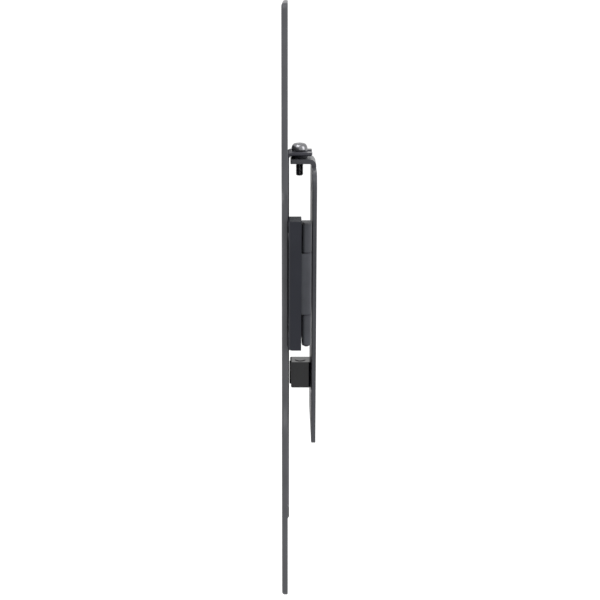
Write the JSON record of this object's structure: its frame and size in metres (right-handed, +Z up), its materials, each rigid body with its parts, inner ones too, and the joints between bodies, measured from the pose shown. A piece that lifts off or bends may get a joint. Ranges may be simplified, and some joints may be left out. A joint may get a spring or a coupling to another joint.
{
  "type": "full motion tv wall mount",
  "caption": "Ultra-slim single-arm TV wall mount, folded flat: wall plate, two hinged arms, swivel head, tilting waisted TV plate and a locking screw through the top tab.",
  "frame": {"origin": "centre of the wall plate's back face, on the wall", "axes": "+Z up; +Y into the wall, so the television is on the -Y side; +X to the right as seen from the room"},
  "size_m": [0.22, 0.0259, 0.43],
  "materials": {
    "wall_steel": "fine matt powder coat",
    "tv_steel": "fine matt powder coat",
    "head_steel": "fine matt powder coat",
    "arm_aluminium": "dark anodised and satin",
    "black_screw": "black oxide",
    "pin_steel": "zinc plated",
    "lock_screw_steel": "black zinc, semi gloss",
    "nylon": "smooth nylon",
    "cover_plastic": "fine spark-eroded texture",
    "stop_plastic": "smooth and semi gloss",
    "rubber": "matt"
  },
  "bodies": {
    "wall": {"wall_plate": "wall_steel", "shoulder_bracket": "wall_steel", "bracket_screws": "black_screw", "shoulder_pin": "pin_steel", "shoulder_pin_clip": "pin_steel", "shoulder_washers": "nylon", "lip_spacer": "nylon", "stop_block": "stop_plastic", "stop_pad": "rubber", "stop_screws": "black_screw"},
    "lock_screw": {"parking_screw": "lock_screw_steel"},
    "rear_arm": {"rear_arm": "arm_aluminium", "rear_arm_caps": "cover_plastic", "elbow_pin": "pin_steel", "elbow_pin_clip": "pin_steel", "elbow_washers": "nylon"},
    "front_arm": {"front_arm": "arm_aluminium", "front_arm_caps": "cover_plastic", "elbow_cover": "cover_plastic", "cover_screws": "black_screw"},
    "head": {"head_plate": "head_steel", "swivel_pin": "pin_steel", "swivel_pin_clip": "pin_steel", "swivel_washers": "nylon"},
    "tv_side": {"tv_plate": "tv_steel", "tilt_pin": "pin_steel", "tilt_pin_clip": "pin_steel", "tilt_washers": "nylon"}
  },
  "joints": [
    {"name": "shoulder_swing", "type": "hinge", "parent": "wall", "child": "rear_arm", "pos_m": [-0.035, -0.00845, 0.021], "axis": [0, 0, -1], "range_deg": [0, 90]},
    {"name": "elbow_fold", "type": "hinge", "parent": "rear_arm", "child": "front_arm", "pos_m": [0.098, -0.00845, 0.035], "axis": [0, 0, 1], "range_deg": [0, 140]},
    {"name": "head_swivel", "type": "hinge", "parent": "front_arm", "child": "head", "pos_m": [-0.035, -0.0162, 0.021], "axis": [0, 0, -1], "range_deg": [0, 50]},
    {"name": "tilt", "type": "hinge", "parent": "head", "child": "tv_side", "pos_m": [0, -0.0232, -0.1765], "axis": [1, 0, 0], "range_deg": [0, 10]},
    {"name": "lock_screw_travel", "type": "slide", "parent": "wall", "child": "lock_screw", "axis": [0, 0, 1], "range_m": [0, 0.01]}
  ]
}
